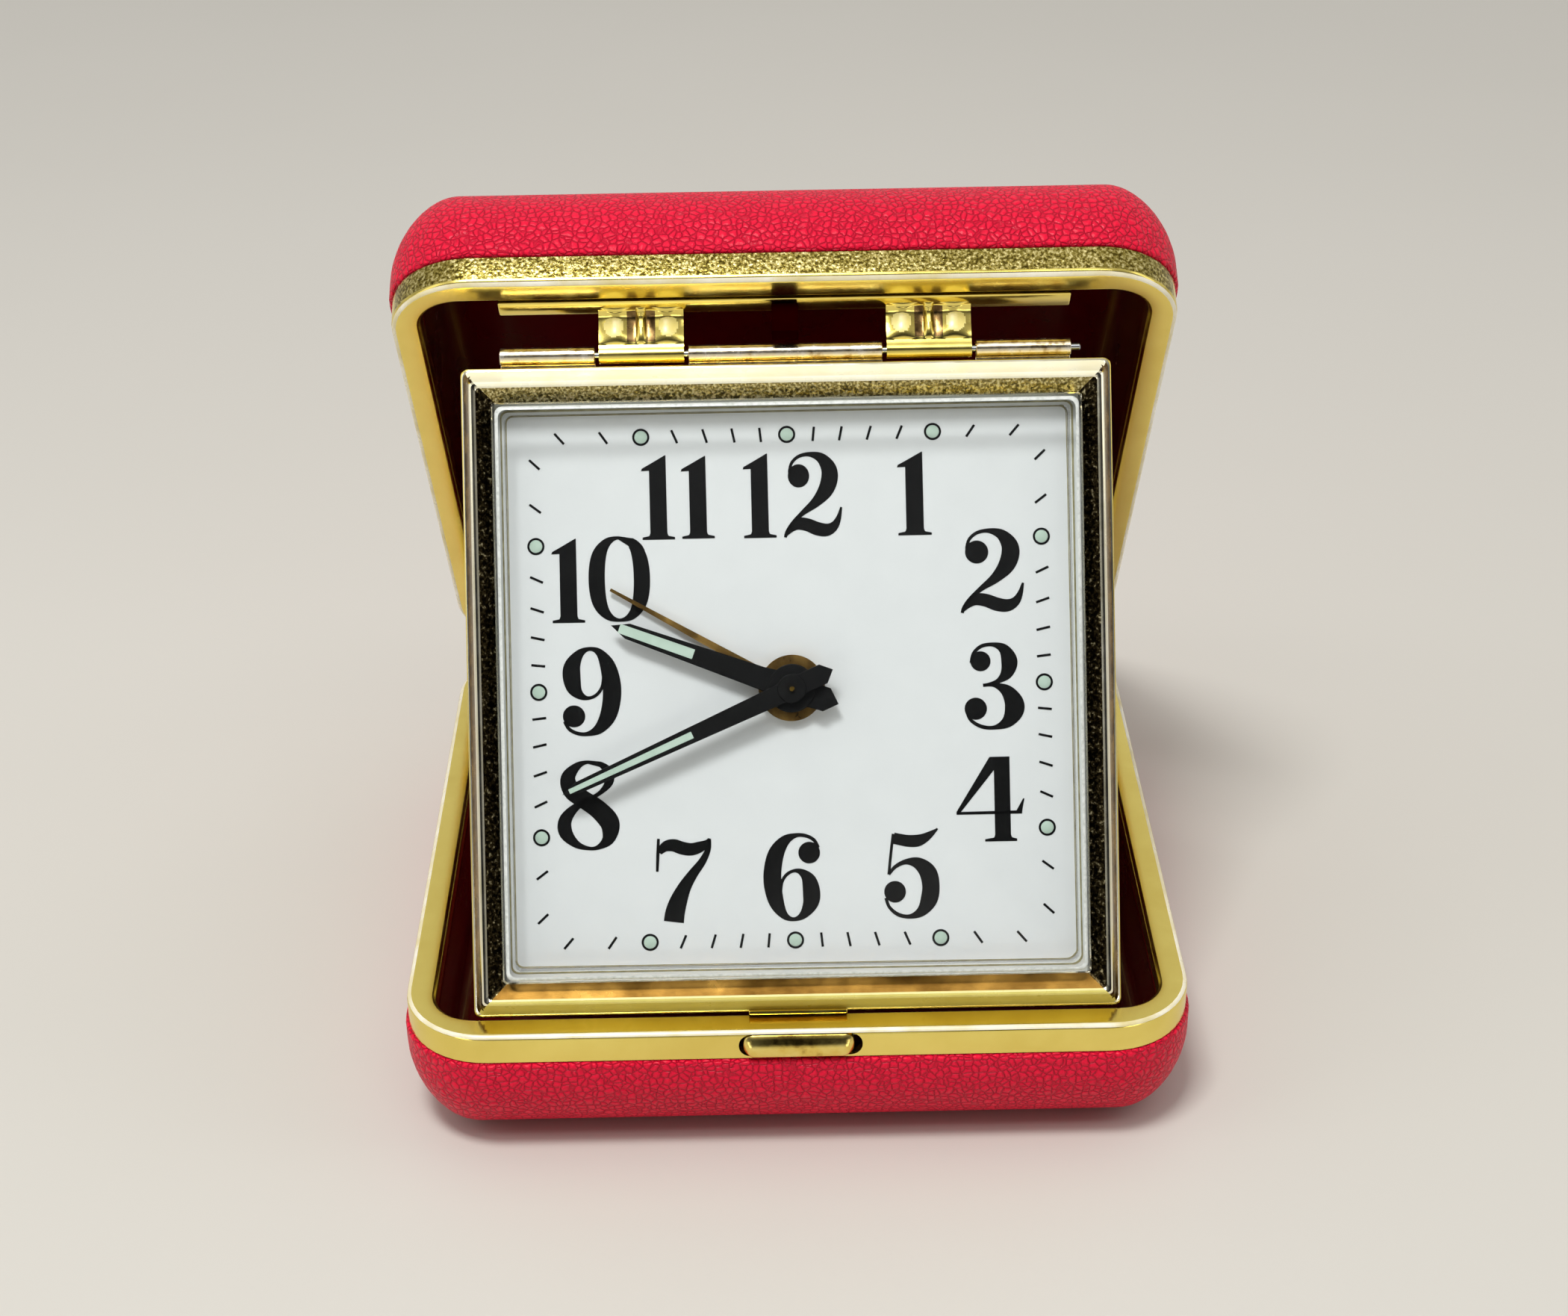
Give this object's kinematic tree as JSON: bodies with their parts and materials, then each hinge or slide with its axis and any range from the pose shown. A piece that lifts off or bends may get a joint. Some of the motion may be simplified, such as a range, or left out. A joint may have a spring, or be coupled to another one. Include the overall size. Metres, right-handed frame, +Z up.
{
  "type": "folding travel alarm clock",
  "caption": "Open folding travel alarm clock: two leather covered case halves on a hinge, with a square wind-up clock hanging from the lid and leaning on the base.",
  "frame": {"origin": "middle of the flat underside of the base", "axes": "+X to the right as the dial is read, +Y from the latch to the case hinge at the back, +Z up"},
  "size_m": [0.0738, 0.0802, 0.0787],
  "materials": {
    "leather": "fine grained red leatherette",
    "gold": "polished gilt, oxidised brown in places",
    "lining": "glossy dark maroon lacquer",
    "acrylic": "clear polished acrylic",
    "dial_paint": "satin white with black print",
    "hand_paint": "matt black with pale green filling",
    "steel": "bright steel",
    "blued_steel": "blued spring steel",
    "brass": "bright brass",
    "ruby": "polished synthetic ruby"
  },
  "bodies": {
    "base": {"base_cover": "leather", "base_rim": "gold", "base_tray": "lining", "base_hinge_leaf": "gold", "case_hinge_pin": "steel", "latch_spring": "steel"},
    "latch": {"latch_button": "gold"},
    "lid": {"lid_cover": "leather", "lid_rim": "gold", "lid_tray": "lining", "lid_hinge_leaf": "gold", "lid_catch": "steel", "clock_hanger": "gold", "clock_hinge_pin": "steel"},
    "clock": {"bezel": "gold", "crystal": "acrylic", "dial": "dial_paint", "back_can": "gold", "clock_hinge_leaf": "gold", "front_plate": "brass", "back_plate": "brass", "pillar_1": "brass", "pillar_2": "brass", "pillar_3": "brass", "pillar_4": "brass", "case_screw_1": "steel", "case_screw_2": "steel", "case_screw_3": "steel", "balance_jewel_front": "ruby", "balance_jewel_back": "ruby", "hairspring": "blued_steel"},
    "minute": {"centre_wheel": "brass", "cannon_pinion": "steel", "minute_hand": "hand_paint"},
    "minute_work": {"minute_wheel": "brass"},
    "hour": {"hour_wheel": "brass", "hour_hand": "hand_paint"},
    "time_setting": {"time_set_knob": "gold"},
    "time_drum": {"time_barrel": "brass", "time_mainspring": "blued_steel"},
    "third": {"third_wheel": "brass"},
    "fourth": {"fourth_wheel": "brass"},
    "escape": {"escape_wheel": "brass"},
    "balance": {"balance_wheel": "brass"},
    "lever": {"pallet_lever": "steel"},
    "regulator": {"regulator_lever": "steel"},
    "time_winding": {"time_winding_arbor": "steel", "time_key": "gold"},
    "alarm_setting": {"alarm_set_knob": "gold"},
    "alarm_pointer": {"alarm_wheel": "brass", "alarm_hand": "brass"},
    "alarm_drum": {"alarm_barrel": "brass", "alarm_mainspring": "blued_steel"},
    "alarm_star": {"alarm_star_wheel": "brass"},
    "hammer": {"alarm_hammer": "steel"},
    "alarm_winding": {"alarm_winding_arbor": "steel", "alarm_key": "gold"},
    "alarm_stop": {"alarm_stop_button": "gold"}
  },
  "joints": [
    {"name": "lid_hinge", "type": "hinge", "parent": "base", "child": "lid", "pos_m": [0, 0.0368, 0.014], "axis": [-1, 0, 0], "range_deg": [0, 43.5]},
    {"name": "clock_hinge", "type": "hinge", "parent": "lid", "child": "clock", "pos_m": [0, -0.00227, 0.06669], "axis": [1, 0, 0], "range_deg": [0, 62.19]},
    {"name": "latch_push", "type": "slide", "parent": "base", "child": "latch", "axis": [0, 1, 0], "range_m": [0, 0.0007], "stiffness_N_per_m": 1500},
    {"name": "minute_turn", "type": "hinge", "parent": "clock", "child": "minute", "pos_m": [0, -0.01789, 0.04001], "axis": [0, 0.8772, -0.4801], "continuous": true},
    {"name": "minute_wheel_turn", "type": "hinge", "parent": "clock", "child": "minute_work", "pos_m": [0.00104, -0.02073, 0.03483], "axis": [0, 0.8772, -0.4801], "continuous": true},
    {"name": "hour_turn", "type": "hinge", "parent": "clock", "child": "hour", "pos_m": [0, -0.01789, 0.04001], "axis": [0, 0.8772, -0.4801], "continuous": true},
    {"name": "time_set_turn", "type": "hinge", "parent": "clock", "child": "time_setting", "pos_m": [0.00214, -0.02371, 0.02939], "axis": [0, 0.8772, -0.4801], "continuous": true},
    {"name": "time_barrel_turn", "type": "hinge", "parent": "clock", "child": "time_drum", "pos_m": [-0.00742, -0.02146, 0.0335], "axis": [0, 0.8772, -0.4801], "continuous": true},
    {"name": "third_wheel_turn", "type": "hinge", "parent": "clock", "child": "third", "pos_m": [0.00155, -0.01368, 0.04771], "axis": [0, 0.8772, -0.4801], "continuous": true},
    {"name": "fourth_wheel_turn", "type": "hinge", "parent": "clock", "child": "fourth", "pos_m": [-0.00584, -0.01273, 0.04945], "axis": [0, 0.8772, -0.4801], "continuous": true},
    {"name": "escape_wheel_turn", "type": "hinge", "parent": "clock", "child": "escape", "pos_m": [-0.01299, -0.01334, 0.04834], "axis": [0, 0.8772, -0.4801], "continuous": true},
    {"name": "balance_swing", "type": "hinge", "parent": "clock", "child": "balance", "pos_m": [-0.01825, -0.0105, 0.05352], "axis": [0, 0.8772, -0.4801], "range_deg": [-135, 135], "stiffness_Nm_per_rad": 0.0000008},
    {"name": "lever_rock", "type": "hinge", "parent": "clock", "child": "lever", "pos_m": [-0.01214, -0.01102, 0.05257], "axis": [0, 0.8772, -0.4801], "range_deg": [-8, 8]},
    {"name": "regulator_turn", "type": "hinge", "parent": "clock", "child": "regulator", "pos_m": [-0.01825, -0.0105, 0.05352], "axis": [0, 0.8772, -0.4801], "range_deg": [-20, 20]},
    {"name": "time_key_turn", "type": "hinge", "parent": "clock", "child": "time_winding", "pos_m": [-0.00742, -0.02146, 0.0335], "axis": [0, 0.8772, -0.4801], "range_deg": [0, 1800]},
    {"name": "alarm_set_turn", "type": "hinge", "parent": "clock", "child": "alarm_setting", "pos_m": [0.00909, -0.01537, 0.04462], "axis": [0, 0.8772, -0.4801], "continuous": true},
    {"name": "alarm_hand_turn", "type": "hinge", "parent": "clock", "child": "alarm_pointer", "pos_m": [0, -0.01789, 0.04001], "axis": [0, 0.8772, -0.4801], "continuous": true},
    {"name": "alarm_barrel_turn", "type": "hinge", "parent": "clock", "child": "alarm_drum", "pos_m": [0.0115, -0.02197, 0.03256], "axis": [0, 0.8772, -0.4801], "continuous": true},
    {"name": "alarm_star_turn", "type": "hinge", "parent": "clock", "child": "alarm_star", "pos_m": [0.01358, -0.01765, 0.04045], "axis": [0, 0.8772, -0.4801], "continuous": true},
    {"name": "hammer_swing", "type": "hinge", "parent": "clock", "child": "hammer", "pos_m": [0.018, -0.01549, 0.0444], "axis": [0, 0.8772, -0.4801], "range_deg": [-8, 8]},
    {"name": "alarm_key_turn", "type": "hinge", "parent": "clock", "child": "alarm_winding", "pos_m": [0.0115, -0.02197, 0.03256], "axis": [0, 0.8772, -0.4801], "range_deg": [0, 1800]},
    {"name": "alarm_stop_push", "type": "slide", "parent": "clock", "child": "alarm_stop", "axis": [0, -0.8772, 0.4801], "range_m": [0, 0.001]}
  ],
  "couplings": [
    {"joint": "minute_wheel_turn", "follows": "minute_turn", "ratio": -0.33333},
    {"joint": "hour_turn", "follows": "minute_turn", "ratio": 0.083333},
    {"joint": "time_set_turn", "follows": "minute_turn", "ratio": 0.83333},
    {"joint": "time_barrel_turn", "follows": "minute_turn", "ratio": -0.16667},
    {"joint": "third_wheel_turn", "follows": "minute_turn", "ratio": -8},
    {"joint": "fourth_wheel_turn", "follows": "minute_turn", "ratio": 60},
    {"joint": "escape_wheel_turn", "follows": "minute_turn", "ratio": -600},
    {"joint": "lever_rock", "follows": "balance_swing", "ratio": -0.059},
    {"joint": "alarm_hand_turn", "follows": "alarm_set_turn", "ratio": -0.25},
    {"joint": "alarm_star_turn", "follows": "alarm_barrel_turn", "ratio": -6}
  ]
}
